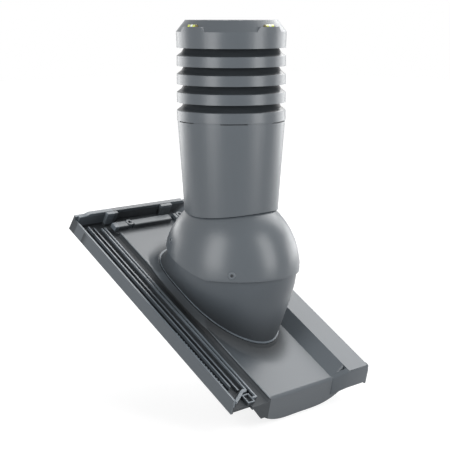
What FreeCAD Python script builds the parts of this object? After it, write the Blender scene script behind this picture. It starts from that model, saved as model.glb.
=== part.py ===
import FreeCAD, Part
import math
import os

import Sketcher

# A ventilation stack on a roof tile. The frame is plumb: +Z up, +X across the slope
# towards the tile's roll, +Y up the slope. The origin is the centre of the ball.

V = FreeCAD.Vector
doc = FreeCAD.newDocument("roof_tile_vent")
sheet = doc.addObject("Spreadsheet::Sheet", "Sizes")


class Size:
    """A number that keeps the sheet formula it was worked out by."""

    def __init__(self, value, formula):
        self.value = float(value)
        self.formula = formula

    def joined(self, sign, other, result):
        return Size(result, "(%s %s %s)" % (self.formula, sign, other.formula))

    def __add__(self, other):
        other = size_of(other)
        return self.joined("+", other, self.value + other.value)

    def __sub__(self, other):
        other = size_of(other)
        return self.joined("-", other, self.value - other.value)

    def __mul__(self, other):
        other = size_of(other)
        return self.joined("*", other, self.value * other.value)

    def __truediv__(self, other):
        other = size_of(other)
        return self.joined("/", other, self.value / other.value)

    def __rsub__(self, other):
        return size_of(other) - self

    def __neg__(self):
        return Size(-self.value, "(-%s)" % self.formula)

    def __float__(self):
        return self.value

    __radd__ = __add__
    __rmul__ = __mul__


def size_of(number):
    """A plain number or a size, as a size."""
    if isinstance(number, Size):
        return number
    return Size(number, "(%.6f)" % number)


def root(size):
    return Size(math.sqrt(size.value), "sqrt(%s)" % size.formula)


def cosine(angle):
    return Size(math.cos(math.radians(angle.value)), "cos(%s * 1 deg)" % angle.formula)


def sine(angle):
    return Size(math.sin(math.radians(angle.value)), "sin(%s * 1 deg)" % angle.formula)


# The driving dimensions, in millimetres and degrees.
DIMENSIONS = [
    # the roof and the ball
    ("roof_pitch", 30.0),
    ("hood_radius", 108.0),
    ("hood_half_width", 96.0),
    ("hood_wall", 3.0),
    ("ball_gap", 0.7),
    ("ball_wall", 3.0),
    ("rim_front_height", -6.5),
    ("rim_break", -38.0),
    ("rim_slope", 18.0),
    # the duct and the neck
    ("duct_radius", 55.0),
    ("duct_wall", 2.5),
    ("duct_bottom", -75.0),
    ("duct_top", 205.0),
    ("duct_flange", 6.0),
    ("neck_radius", 63.0),
    ("neck_wall", 3.0),
    ("neck_top", 150.0),
    ("seal_height", 18.0),
    ("seal_drop", 6.0),
    ("seal_groove", 1.2),
    # the cowl
    ("cowl_top_radius", 79.2),
    ("cowl_foot_radius", 69.9),
    ("cowl_foot", 84.0),
    ("cowl_wall", 3.0),
    ("cowl_gap", 2.3),
    ("shelf_thickness", 3.0),
    ("gusset_height", 14.0),
    ("gusset_width", 2.4),
    ("slit_height", 1.3),
    ("slit_angle", 28.0),
    ("slit_phase", 49.0),
    # the louvres
    ("band_radius", 80.0),
    ("band_height", 14.7),
    ("band_pitch", 26.4),
    ("band_wall", 2.5),
    ("collar_bottom", 216.0),
    ("lip_radius", 69.0),
    ("lip_overlap", 5.0),
    ("spigot_depth", 10.0),
    ("fit_gap", 0.3),
    ("rib_width", 2.4),
    ("rib_count", 6),
    ("rib_tooth", 3.0),
    # the cap
    ("cap_skirt_height", 23.1),
    ("cap_chamfer_height", 16.8),
    ("cap_shoulder", 0.9),
    ("crown_radius", 67.7),
    ("seat_height", 7.5),
    ("seat_half_width", 18.8),
    ("seat_flare", 6.1),
    ("seat_depth", 18.0),
    ("vial_radius", 3.1),
    ("vial_length", 18.0),
    ("vial_inset", 4.6),
    # lock screws: the half spacing along X and the angle round the ball
    ("front_screw_x", 70.2),
    ("front_screw_angle", 177.5),
    ("back_screw_x", 79.0),
    ("back_screw_angle", 40.0),
    ("screw_radius", 2.5),
    ("screw_proud", 0.2),
    ("screw_end_gap", 0.3),
    ("socket_radius", 1.5),
    ("socket_depth", 1.6),
    ("collar_radius", 5.2),
    ("collar_proud", 0.4),
    ("collar_chamfer", 0.5),
    ("nut_flange_radius", 6.5),
    ("nut_flange_height", 1.5),
    ("nut_fit", 0.1),
    ("thread_gap", 0.12),
    # the ball base
    ("opening_tilt", 1.0),
    ("opening_height", 68.9),
    ("blend_tilt", 12.0),
    ("blend_drop", 6.5),
    ("base_facets", 44.0),
    ("base_slices", 7.0),
    ("egg_top_angle", 68.0),
    ("egg_foot_angle", -24.0),
    ("egg_bands", 12.0),
    ("base_drop", 53.0),
    ("base_half_width", 66.0),
    ("base_half_length", 113.0),
    ("base_shift", -8.0),
    ("base_front_power", 2.0),
    ("base_back_power", 3.4),
    ("base_edge", 1.6),
    ("flange_thickness", 3.0),
    ("passage_half_width", 58.5),
    ("passage_half_length", 96.0),
    ("passage_power", 2.7),
    ("boss_radius", 4.0),
    ("boss_height", 10.0),
    ("boss_roof", 1.5),
    ("end_boss_reach", 103.5),
    ("front_boss_x", 27.0),
    ("front_boss_reach", 98.0),
    ("back_boss_x", 45.0),
    ("back_boss_reach", 86.0),
    ("base_screw_radius", 1.75),
    ("base_screw_head", 3.5),
    ("base_screw_head_height", 2.4),
    ("base_screw_spare", 2.5),
    ("seal_thickness", 1.0),
    ("seal_inset", 1.0),
    # the tile, across the slope
    ("tile_wall", 3.5),
    ("tile_left", -136.0),
    ("tile_right", 133.6),
    ("rim_level", -56.0),
    ("rim_thickness", 4.5),
    ("rim_foot_level", -76.0),
    ("channel_level", -70.5),
    ("pan_level", -66.0),
    ("pan_left", -63.0),
    ("channel_right", -70.0),
    ("pan_right", 66.0),
    ("roll_level", -50.0),
    ("roll_left", 87.4),
    ("roll_drop", 30.0),
    ("roll_bevel", 4.0),
    # the tile, along the slope
    ("tile_head", 212.0),
    ("tile_foot", -207.0),
    ("roll_foot", -214.0),
    ("foot_lean", 17.0),
    ("apron_depth", 37.0),
    ("apron_left", -100.0),
    ("apron_toe", -78.0),
    ("apron_toe_drop", 27.0),
    ("side_foot", -201.5),
    ("upstand_level", -50.0),
    ("upstand_thickness", 4.0),
    ("bar_level", -62.0),
    ("bar_position", 186.0),
    ("bar_width", 9.0),
    ("nail_left", -40.0),
    ("nail_right", 66.0),
    ("nail_radius", 2.4),
    ("nail_boss_radius", 6.5),
    ("rib_thickness", 2.4),
    ("tooth_count", 19),
    ("tooth_size", 1.6),
    ("tooth_pitch", 5.9),
    ("tooth_start", -60.0),
    ("pedestal_margin", 3.0),
    ("pedestal_side", 1.5),
    ("pedestal_spread", 42.0),
    ("nib_width", 26.0),
    ("nib_depth", 22.0),
    ("nib_left", -70.0),
    ("nib_right", 44.0),
    ("nib_position", 172.0),
    ("nib_thickness", 7.0),
]

# How far a cutting form runs past what it cuts, and a fused form into its neighbour.
OVERRUN = 2.0
SINK = 1.0


def fill_sheet():
    """Each driving dimension has its own row: its name beside its number."""
    found = {}
    for row, (name, number) in enumerate(DIMENSIONS, start=1):
        sheet.set("A%d" % row, name)
        sheet.set("B%d" % row, str(number))
        sheet.setAlias("B%d" % row, name)
        found[name] = Size(number, "Sizes.%s" % name)
    doc.recompute()
    return found


size = fill_sheet()


def bind(thing, **formulas):
    """Tie properties of a document object to the sheet."""
    for name, value in formulas.items():
        value = size_of(value)
        whole = isinstance(getattr(thing, name), int)
        setattr(thing, name, round(value.value) if whole else value.value)
        thing.setExpression(name, value.formula)
    return thing


def new_body(label):
    body = doc.addObject("PartDesign::Body", label)
    body.Label = label
    return body


def plane_of(body, role):
    return [each for each in body.Origin.OriginFeatures if each.Role == role][0]


def new_sketch(body, name, plane, lift=0.0):
    """An empty sketch on one of the body's own planes, lifted along its normal."""
    sketch = body.newObject("Sketcher::SketchObject", name)
    sketch.AttachmentSupport = [(plane_of(body, plane), "")]
    sketch.MapMode = "FlatFace"
    lift = size_of(lift)
    sketch.AttachmentOffset = FreeCAD.Placement(V(0, 0, lift.value), FreeCAD.Rotation())
    sketch.setExpression("AttachmentOffset.Base.z", lift.formula)
    return sketch


def pin_point(sketch, geometry, end, x, y):
    """Hold one end of a line or arc at its two sheet formulas."""
    for kind, value in (("DistanceX", size_of(x)), ("DistanceY", size_of(y))):
        rule = Sketcher.Constraint(kind, -1, 1, geometry, end, value.value)
        index = sketch.addConstraint(rule)
        sketch.setExpression("Constraints[%d]" % index, value.formula)


def arc_between(start, end, radius, side):
    """A short arc; side is +1 with its centre left of the way from start to end."""
    half = (end - start) * 0.5
    across = V(-half.y, half.x, 0).normalize()
    reach = math.sqrt(radius * radius - half.Length * half.Length)
    centre = start + half + across * (reach * side)
    circle = Part.Circle(centre, V(0, 0, 1), radius)
    first = math.atan2(start.y - centre.y, start.x - centre.x)
    last = math.atan2(end.y - centre.y, end.x - centre.x)
    if side < 0:
        first, last = last, first
    return Part.ArcOfCircle(circle, first, last)


def draw(sketch, outline):
    """A closed outline of corners (x, y) or (x, y, radius, side) where an arc leaves."""
    points = [V(float(corner[0]), float(corner[1]), 0) for corner in outline]
    ends = []
    for index, corner in enumerate(outline):
        start = points[index]
        end = points[(index + 1) % len(points)]
        if len(corner) == 2:
            edge = sketch.addGeometry(Part.LineSegment(start, end))
            ends.append((edge, 1, 2))
        else:
            radius = size_of(corner[2])
            edge = sketch.addGeometry(arc_between(start, end, radius.value, corner[3]))
            ends.append((edge, 1, 2) if corner[3] > 0 else (edge, 2, 1))
            rule = sketch.addConstraint(Sketcher.Constraint("Radius", edge, radius.value))
            sketch.setExpression("Constraints[%d]" % rule, radius.formula)
    for index, (edge, first, last) in enumerate(ends):
        follower = ends[(index + 1) % len(ends)]
        sketch.addConstraint(Sketcher.Constraint("Coincident", edge, last, follower[0], follower[1]))
        pin_point(sketch, edge, first, outline[index][0], outline[index][1])
    return sketch


def draw_circle(sketch, x, y, radius):
    """A circle held by its centre and radius."""
    radius = size_of(radius)
    centre = V(float(x), float(y), 0)
    edge = sketch.addGeometry(Part.Circle(centre, V(0, 0, 1), radius.value))
    rule = sketch.addConstraint(Sketcher.Constraint("Radius", edge, radius.value))
    sketch.setExpression("Constraints[%d]" % rule, radius.formula)
    pin_point(sketch, edge, 3, x, y)
    return sketch


def feature(body, kind, name, sketch, **formulas):
    """A PartDesign feature on a sketch, which becomes the body's tip."""
    made = body.newObject("PartDesign::" + kind, name)
    made.Profile = sketch
    bind(made, **formulas)
    body.Tip = made
    return made


def revolved(body, name, outline):
    """The outline in the XZ plane (radius, height), turned round the plumb axis."""
    sketch = draw(new_sketch(body, name + "_outline", "XZ_Plane"), outline)
    turned = body.newObject("PartDesign::Revolution", name)
    turned.Profile = sketch
    turned.ReferenceAxis = (sketch, ["V_Axis"])
    turned.Angle = 360.0
    body.Tip = turned
    return turned


def plate(body, name, outline, width):
    """A flat plate in the XZ plane, half its width to each side."""
    width = size_of(width)
    sketch = draw(new_sketch(body, name + "_outline", "XZ_Plane", width * -0.5), outline)
    return feature(body, "Pad", name, sketch, Length=width)


def repeated(body, name, original, count):
    """Copies of a feature all round the plumb axis."""
    pattern = body.newObject("PartDesign::PolarPattern", name)
    pattern.Originals = [original]
    pattern.Axis = (plane_of(body, "Z_Axis"), [""])
    pattern.Angle = 360.0
    bind(pattern, Occurrences=count)
    body.Tip = pattern
    return pattern


def primitive(kind, label, **formulas):
    made = doc.addObject("Part::" + kind, label)
    made.Label = label
    return bind(made, **formulas)


def placed(thing, x, y, z):
    """Put a primitive at three sheet formulas."""
    spot = [size_of(x), size_of(y), size_of(z)]
    thing.Placement = FreeCAD.Placement(V(*[each.value for each in spot]), FreeCAD.Rotation())
    for axis, each in zip("xyz", spot):
        thing.setExpression("Placement.Base." + axis, each.formula)
    return thing


def cut(label, base, *tools):
    tool = tools[0]
    if len(tools) > 1:
        tool = fuse(label + "_tools", *tools)
    made = doc.addObject("Part::Cut", label)
    made.Base = base
    made.Tool = tool
    made.Label = label
    return made


def fuse(label, *pieces):
    made = doc.addObject("Part::MultiFuse", label)
    made.Shapes = list(pieces)
    made.Label = label
    return made


def solid_feature(label, shape, placement=None):
    made = doc.addObject("Part::Feature", label)
    made.Shape = shape
    made.Label = label
    if placement is not None:
        made.Placement = placement
    return made


parts = {}


def keep(name, thing):
    """Note a finished sub-part under its node name."""
    thing.Label = name
    parts[name] = thing
    return thing


tile_place = FreeCAD.Placement(V(0, 0, 0), FreeCAD.Rotation(V(1, 0, 0), size["roof_pitch"].value))


# louvres

flare_height = size["band_pitch"] - size["band_height"] + size["lip_overlap"]
band_inner = size["band_radius"] - size["band_wall"]
lip_inner = size["lip_radius"] - size["band_wall"]
flare_run = size["band_radius"] - size["lip_radius"]
flare_radius = (flare_run * flare_run + flare_height * flare_height) / (flare_run * 2.0)
flare_centre = size["lip_radius"] + flare_radius
under_radius = flare_radius + size["band_wall"]
flare_reach = flare_centre - band_inner
flare_fall = root(under_radius * under_radius - flare_reach * flare_reach)
FLARE_LOW = 0.7
FLARE_HIGH = 0.38


def flare_point(lip, radius, fall, share):
    """A point on the flare's curve, at a share of its height under the lip."""
    below = fall * share
    return flare_centre - root(radius * radius - below * below), lip - below


def band_outline(bottom, foot):
    """Section of a louvre: an upright band and a flare in three runs up to its lip."""
    top = bottom + size["band_height"]
    lip = top + flare_height
    return [
        (size["band_radius"], bottom),
        (size["band_radius"], top),
        flare_point(lip, flare_radius, flare_height, FLARE_LOW),
        flare_point(lip, flare_radius, flare_height, FLARE_HIGH),
        (size["lip_radius"], lip),
        (lip_inner, lip),
        flare_point(lip, under_radius, flare_fall, FLARE_HIGH),
        flare_point(lip, under_radius, flare_fall, FLARE_LOW),
        (band_inner, lip - flare_fall),
    ] + foot


def rib_outline(bottom, top, reach):
    """A rib that stands on the lip below and hooks behind it."""
    seat = bottom + size["lip_overlap"]
    tooth_outer = lip_inner - size["fit_gap"]
    tooth_inner = tooth_outer - size["rib_tooth"]
    return [
        (tooth_inner, seat - size["rib_tooth"]),
        (tooth_outer, seat - size["rib_tooth"]),
        (tooth_outer, seat),
        (reach, seat),
        (reach, top),
        (tooth_inner, top + (reach - tooth_inner) * 0.35),
    ]


def make_louvre(name, step):
    """One louvre ring, a whole number of pitches above the collar."""
    bottom = size["collar_bottom"] + size["band_pitch"] * step
    body = new_body(name)
    revolved(body, name + "_band", band_outline(bottom, [(band_inner, bottom)]))
    top = bottom + size["band_height"]
    rib = plate(body, name + "_rib", rib_outline(bottom, top, band_inner + 1.0), size["rib_width"])
    repeated(body, name + "_ribs", rib, size["rib_count"])
    return keep(name, body)


def make_collar():
    """The lowest louvre: its spigot drops into the cowl."""
    bottom = size["collar_bottom"]
    spigot_outer = size["cowl_top_radius"] - size["cowl_wall"] - size["fit_gap"] - 0.6
    spigot_inner = spigot_outer - size["band_wall"]
    foot = [
        (band_inner, bottom + size["band_wall"]),
        (spigot_inner, bottom + size["band_wall"]),
        (spigot_inner, bottom - size["spigot_depth"]),
        (spigot_outer, bottom - size["spigot_depth"]),
        (spigot_outer, bottom),
    ]
    body = new_body("collar_ring")
    revolved(body, "collar_band", band_outline(bottom, foot))
    return keep("collar_ring", body)


# cap

cap_bottom = size["collar_bottom"] + size["band_pitch"] * 4.0
shoulder = cap_bottom + size["cap_skirt_height"]
crown = shoulder + size["cap_chamfer_height"]
shoulder_radius = size["band_radius"] + size["cap_shoulder"]
seat_top = shoulder + size["seat_height"]
vial_centre = shoulder_radius - size["vial_inset"]


def seat_block(name, direction):
    """A block that carries a vial, wider at its foot, cut to the cap's round side."""
    half_top = size["seat_half_width"].value
    half_foot = half_top + size["seat_flare"].value
    low = shoulder.value - size["cap_shoulder"].value
    corners = [V(0, -half_foot, low), V(0, half_foot, low), V(0, half_top, seat_top.value), V(0, -half_top, seat_top.value)]
    face = Part.Face(Part.makePolygon(corners + corners[:1]))
    block = face.extrude(V(shoulder_radius.value, 0, 0))
    block = block.common(Part.makeCylinder(shoulder_radius.value, crown.value))
    inner = Part.makeCylinder(vial_centre.value - size["seat_depth"].value, crown.value)
    block = block.cut(inner)
    groove = Part.makeCylinder(
        size["vial_radius"].value,
        size["vial_length"].value,
        V(vial_centre.value, -size["vial_length"].value / 2, seat_top.value),
        V(0, 1, 0),
    )
    turn = FreeCAD.Placement(V(0, 0, 0), FreeCAD.Rotation(V(0, 0, 1), direction))
    return solid_feature(name, block, turn), solid_feature(name + "_groove", groove, turn)


def make_cap():
    """A closed lid with a chamfered shoulder, two vial seats and six inner ribs."""
    wall = size["band_wall"]
    body = new_body("cap_shell")
    revolved(body, "cap_wall", [
        (size["band_radius"], cap_bottom),
        (shoulder_radius, shoulder),
        (size["crown_radius"], crown),
        (0.0, crown),
        (0.0, crown - wall),
        (size["crown_radius"] - wall * 0.4, crown - wall),
        (shoulder_radius - wall, shoulder - wall * 0.4),
        (band_inner, cap_bottom),
    ])
    rib = plate(body, "cap_rib", rib_outline(cap_bottom, crown - wall * 2.0, band_inner - 8.0), size["rib_width"])
    repeated(body, "cap_ribs", rib, size["rib_count"])
    left_seat, left_groove = seat_block("seat_left", 180.0)
    front_seat, front_groove = seat_block("seat_front", 270.0)
    solid = fuse("cap_blank", body, left_seat, front_seat)
    return keep("cap", cut("cap", solid, left_groove, front_groove))


def make_vial(name, direction):
    """A sealed tube with rounded ends, laid in its groove."""
    radius = size["vial_radius"].value - size["fit_gap"].value * 0.1
    length = size["vial_length"].value - size["fit_gap"].value * 0.2
    tube = Part.makeCylinder(radius, length, V(vial_centre.value, -length / 2, seat_top.value), V(0, 1, 0))
    tube = tube.makeChamfer(radius * 0.35, tube.Edges[:1] + tube.Edges[2:3])
    turn = FreeCAD.Placement(V(0, 0, 0), FreeCAD.Rotation(V(0, 0, 1), direction))
    return keep(name, solid_feature(name, tube, turn))


# cowl

def cowl_radius(height):
    """Outside radius of the tapered shell at a height."""
    rise = size["collar_bottom"] - size["cowl_foot"]
    taper = (size["cowl_top_radius"] - size["cowl_foot_radius"]) / rise
    return size["cowl_foot_radius"] + taper * (height - size["cowl_foot"])


def make_cowl():
    """The tapered shell, with a shelf that sits on the neck and six gussets."""
    top = size["collar_bottom"]
    low = size["cowl_foot"] - 16.0
    wall = size["cowl_wall"]
    shelf = size["neck_top"]
    shelf_top = shelf + size["shelf_thickness"]
    passage = size["duct_radius"] + size["fit_gap"]
    body = new_body("cowl_blank")
    revolved(body, "cowl_wall_turned", [
        (cowl_radius(low), low),
        (cowl_radius(top), top),
        (cowl_radius(top) - wall, top),
        (cowl_radius(shelf_top) - wall, shelf_top),
        (passage, shelf_top),
        (passage, shelf),
        (cowl_radius(shelf) - wall, shelf),
        (cowl_radius(low) - wall, low),
    ])
    reach = cowl_radius(shelf_top) - wall * 0.5
    gusset = plate(body, "cowl_gusset", [
        (passage + size["duct_flange"] + 2.0, shelf_top - 1.0),
        (reach, shelf_top - 1.0),
        (reach, shelf_top + size["gusset_height"]),
    ], size["gusset_width"])
    repeated(body, "cowl_gussets", gusset, size["rib_count"])
    ball = primitive(
        "Ellipsoid", "cowl_foot_cut",
        Radius1=size["hood_radius"] + size["cowl_gap"],
        Radius2=size["hood_half_width"] + size["cowl_gap"],
        Radius3=size["hood_radius"] + size["cowl_gap"],
    )
    slits = []
    for index in range(int(size["rib_count"].value)):
        slit = primitive(
            "Cylinder", "cowl_slit_%d" % index,
            Radius=size["cowl_top_radius"] + 1.0,
            Height=size["slit_height"] + 1.0,
            Angle=size["slit_angle"],
        )
        start = size["slit_phase"].value - size["slit_angle"].value / 2 + index * 60.0
        slit.Placement = FreeCAD.Placement(V(0, 0, 0), FreeCAD.Rotation(V(0, 0, 1), start))
        height = top - size["slit_height"]
        slit.setExpression("Placement.Base.z", height.formula)
        slits.append(slit)
    return keep("cowl_shell", cut("cowl_shell", body, ball, *slits))


# hood

def ball_point(half_width, radius, x, angle):
    """A point of an egg turned about X, and the outward direction there."""
    ring = radius * math.sqrt(1.0 - (x / half_width) ** 2)
    turn = math.radians(angle)
    point = V(x, ring * math.cos(turn), ring * math.sin(turn))
    outward = V(x / half_width ** 2, point.y / radius ** 2, point.z / radius ** 2)
    return point, outward.normalize()


def lock_points():
    """The four lock screws: label, place on the hood's skin and outward direction."""
    found = []
    for row in ("front", "back"):
        across = size[row + "_screw_x"].value
        angle = size[row + "_screw_angle"].value
        for side, x in (("left", -across), ("right", across)):
            point, outward = ball_point(
                size["hood_half_width"].value, size["hood_radius"].value, x, angle)
            found.append((row + "_" + side, point, outward))
    return found


def egg(label, inset):
    """The ball's form at a depth under the hood's skin, in level rings of flat faces."""
    radius = size["hood_radius"].value - inset
    half_width = size["hood_half_width"].value - inset
    high = size["egg_top_angle"].value
    low = size["egg_foot_angle"].value
    bands = int(size["egg_bands"].value)
    rings = []
    for band in range(bands + 1):
        angle = math.radians(high + (low - high) * band / bands)
        rings.append(oval_points(
            V(0, 0, radius * math.sin(angle)), half_width * math.cos(angle),
            V(0, radius * math.cos(angle), 0), ROUND))
    return solid_feature(label, faceted(rings))


def make_hood():
    """The turning half of the ball, with its plumb neck and four screw seats."""
    neck = primitive("Cylinder", "neck_blank", Radius=size["neck_radius"], Height=size["neck_top"])
    bore = primitive(
        "Cylinder", "neck_bore",
        Radius=size["neck_radius"] - size["neck_wall"], Height=size["neck_top"] + 1.0)
    reach = size["hood_radius"] * 1.1
    rim_grade = sine(size["rim_slope"]) / cosine(size["rim_slope"])
    rise = size["rim_front_height"] + (reach - size["rim_break"]) * rim_grade
    below = new_body("rim_cut")
    sketch = draw(new_sketch(below, "rim_outline", "YZ_Plane", -reach), [
        (-reach, -reach),
        (reach, -reach),
        (reach, rise),
        (size["rim_break"], size["rim_front_height"]),
        (-reach, size["rim_front_height"]),
    ])
    feature(below, "Pad", "rim_block", sketch, Length=reach * 2.0)
    holes = []
    wall = size["hood_wall"]
    for name, point, outward in lock_points():
        turn = FreeCAD.Rotation(V(0, 0, 1), outward)
        hole = primitive(
            "Cylinder", "collar_hole_" + name,
            Radius=size["collar_radius"] + size["nut_fit"], Height=wall * 4.0)
        hole.Placement = FreeCAD.Placement(point - outward * wall.value * 2, turn)
        seat = primitive(
            "Cylinder", "flange_seat_" + name,
            Radius=size["nut_flange_radius"] + size["nut_fit"], Height=wall * 2.0)
        depth = wall.value * 3 - size["nut_flange_height"].value
        seat.Placement = FreeCAD.Placement(point - outward * depth, turn)
        holes += [hole, seat]
    blank = fuse("hood_blank", egg("hood_skin", 0.0), neck)
    tools = [egg("hood_hollow", size["hood_wall"].value), bore, below] + holes
    return keep("hood", cut("hood", blank, *tools))


def make_lock_screw(name, point, outward):
    """A set screw with a six-sided socket, whose end bears on the ball base."""
    crown_level = size["screw_proud"].value
    reach = size["hood_wall"].value + size["ball_gap"].value - size["screw_end_gap"].value
    shank = Part.makeCylinder(size["screw_radius"].value, crown_level + reach, V(0, 0, -reach))
    radius = size["socket_radius"].value
    depth = size["socket_depth"].value
    corners = []
    for turn in range(0, 360, 60):
        corner = FreeCAD.Rotation(V(0, 0, 1), turn).multVec(V(radius, 0, 0))
        corners.append(corner + V(0, 0, crown_level - depth))
    socket = Part.Face(Part.makePolygon(corners + corners[:1])).extrude(V(0, 0, depth))
    place = FreeCAD.Placement(point, FreeCAD.Rotation(V(0, 0, 1), outward))
    return keep("lock_screw_" + name, solid_feature("lock_screw_" + name, shank.cut(socket), place))


def make_clamp_nut(name, point, outward):
    """A flanged nut let into the hood's wall from inside, its collar showing outside."""
    foot = -size["hood_wall"].value
    seat = foot + size["nut_flange_height"].value
    crown_level = size["collar_proud"].value
    flange = Part.makeCylinder(
        size["nut_flange_radius"].value, size["nut_flange_height"].value, V(0, 0, foot))
    collar = Part.makeCylinder(size["collar_radius"].value, crown_level - seat, V(0, 0, seat))
    collar = collar.makeChamfer(size["collar_chamfer"].value, [collar.Edges[0]])
    bore = Part.makeCylinder(
        size["screw_radius"].value + size["thread_gap"].value, crown_level - foot, V(0, 0, foot))
    place = FreeCAD.Placement(point, FreeCAD.Rotation(V(0, 0, 1), outward))
    nut = flange.fuse(collar).cut(bore)
    return keep("clamp_nut_" + name, solid_feature("clamp_nut_" + name, nut, place))


# duct

def make_duct():
    """The inner pipe; its flange hangs on the cowl's shelf."""
    outer = size["duct_radius"]
    inner = outer - size["duct_wall"]
    flange = outer + size["duct_flange"]
    shelf_top = size["neck_top"] + size["shelf_thickness"]
    bottom = size["duct_bottom"]
    top = size["duct_top"]
    lead = size["duct_wall"] * 0.4
    body = new_body("duct_pipe")
    revolved(body, "duct_wall_turned", [
        (inner, bottom),
        (outer - lead, bottom),
        (outer, bottom + lead * 3.0),
        (outer, shelf_top),
        (flange, shelf_top),
        (flange, shelf_top + size["duct_wall"]),
        (outer, shelf_top + size["duct_wall"]),
        (outer, top),
        (inner, top),
    ])
    return keep("duct_pipe", body)


def make_neck_seal():
    """A rubber ring between pipe and neck, with one groove outside."""
    inner = size["duct_radius"]
    outer = size["neck_radius"] - size["neck_wall"]
    top = size["neck_top"] - size["seal_drop"]
    bottom = top - size["seal_height"]
    land = size["seal_height"] / 3.0
    groove = outer - size["seal_groove"]
    body = new_body("neck_seal")
    revolved(body, "neck_seal_turned", [
        (inner, bottom),
        (outer, bottom),
        (outer, bottom + land),
        (groove, bottom + land),
        (groove, bottom + land * 2.0),
        (outer, bottom + land * 2.0),
        (outer, top),
        (inner, top),
    ])
    return keep("neck_seal", body)


# ball base, drawn in the tile's own frame: X across, Y up the slope, Z out of the slope

# The powers of an outline's front and back halves: 2 is an ellipse, more is squarer.
ROUND = (2.0, 2.0)
FOOT_POWERS = (size["base_front_power"].value, size["base_back_power"].value)
PASSAGE_POWERS = (size["passage_power"].value, size["passage_power"].value)


def oval_points(centre, half_width, along, powers):
    """Points on a closed curve round a centre; along is its half length as a vector."""
    points = []
    steps = int(size["base_facets"].value)
    for step in range(steps):
        turn = 2 * math.pi * step / steps
        c = math.cos(turn)
        s = math.sin(turn)
        share = 2.0 / (powers[1] if s > 0 else powers[0])
        across = math.copysign(abs(c) ** share, c) * half_width
        ahead = math.copysign(abs(s) ** share, s)
        points.append(centre + V(across, 0, 0) + along * ahead)
    return points


def oval_plate(level, half_width, half_length, powers, thickness):
    """A level plate with an oval outline, about the middle of the base's foot."""
    centre = V(0, size["base_shift"].value, level)
    points = oval_points(centre, half_width, V(0, half_length, 0), powers)
    return Part.Face(Part.makePolygon(points + points[:1])).extrude(V(0, 0, thickness))


def foot_plate(level, grow, thickness):
    """A plate with the outline of the base's foot, grown or shrunk."""
    return oval_plate(
        level, size["base_half_width"].value + grow,
        size["base_half_length"].value + grow, FOOT_POWERS, thickness)


def passage(level, thickness):
    """The way for the duct through the base's flange, the seal and the tile."""
    return oval_plate(
        level, size["passage_half_width"].value,
        size["passage_half_length"].value, PASSAGE_POWERS, thickness)


# How the base blends from the ball to its foot: how far down, and the shares of the
# narrowing, of the back's flare and of the foot's squareness at that depth.
BASE_BLEND = [
    (0.17, 0.04, 0.02, 0.06),
    (0.34, 0.13, 0.05, 0.16),
    (0.51, 0.29, 0.19, 0.32),
    (0.68, 0.5, 0.4, 0.5),
    (0.84, 0.74, 0.69, 0.75),
    (1.0, 1.0, 1.0, 1.0),
]


def base_rings(inset, overrun):
    """Rings of points round the base at a depth under its skin, from the opening down.

    The first are slices of the ball, and the last ones open out to the foot.
    """
    skin = size["hood_wall"].value + size["ball_gap"].value + inset
    radius = size["hood_radius"].value - skin
    half_width = size["hood_half_width"].value - skin
    pitch = size["roof_pitch"].value
    top_turn = size["opening_tilt"].value - pitch
    low_turn = size["blend_tilt"].value - pitch
    top_rise = size["opening_height"].value + overrun
    rings = []
    slices = int(size["base_slices"].value)
    for step in range(slices + 1):
        share = step / slices
        turn = math.radians(top_turn + (low_turn - top_turn) * share)
        rise = top_rise * (1 - share) - size["blend_drop"].value * share
        spread = math.sqrt(1.0 - (rise / radius) ** 2)
        along = V(0, math.cos(turn), math.sin(turn)) * (radius * spread)
        centre = V(0, -math.sin(turn), math.cos(turn)) * rise
        rings.append(oval_points(centre, half_width * spread, along, ROUND))
    front = centre - along
    back = centre + along
    widest = half_width * spread
    drop = size["base_drop"].value
    reach = size["base_half_length"].value - inset
    foot_front = V(0, size["base_shift"].value - reach, -drop)
    foot_back = V(0, size["base_shift"].value + reach, -drop)
    foot_width = size["base_half_width"].value - inset
    for share, width_share, back_share, power_share in BASE_BLEND:
        low_front = front + (foot_front - front) * share
        low_back = back + V(0, (foot_back.y - back.y) * back_share, (foot_back.z - back.z) * share)
        width = widest + (foot_width - widest) * width_share
        centre = (low_front + low_back) * 0.5
        powers = [
            start + (end - start) * power_share
            for start, end in zip(ROUND, FOOT_POWERS)]
        rings.append(oval_points(centre, width, (low_back - low_front) * 0.5, powers))
    if overrun:
        rings.append([point - V(0, 0, overrun) for point in rings[-1]])
    return rings


def faceted(rings):
    """A solid through rings of points, closed by a flat face at each end."""
    faces = []
    count = len(rings[0])
    for upper, lower in zip(rings, rings[1:]):
        for index in range(count):
            following = (index + 1) % count
            for corners in (
                    (upper[index], upper[following], lower[following]),
                    (upper[index], lower[following], lower[index])):
                faces.append(Part.Face(Part.makePolygon(list(corners) + [corners[0]])))
    for ring in (rings[0], rings[-1]):
        faces.append(Part.Face(Part.makePolygon(ring + [ring[0]])))
    shell = Part.Shell(faces)
    shell.sewShape()
    solid = Part.Solid(shell)
    if solid.Volume < 0:
        solid.reverse()
    return solid


def base_screw_points():
    """The six screws that hold the base down: two at its ends and one at each corner."""
    middle = size["base_shift"].value
    end = size["end_boss_reach"].value
    spots = [V(0, middle - end, 0), V(0, middle + end, 0)]
    for corner, way in (("front", -1), ("back", 1)):
        across = size[corner + "_boss_x"].value
        reach = size[corner + "_boss_reach"].value
        for side in (-1, 1):
            spots.append(V(side * across, middle + way * reach, 0))
    return spots


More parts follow.
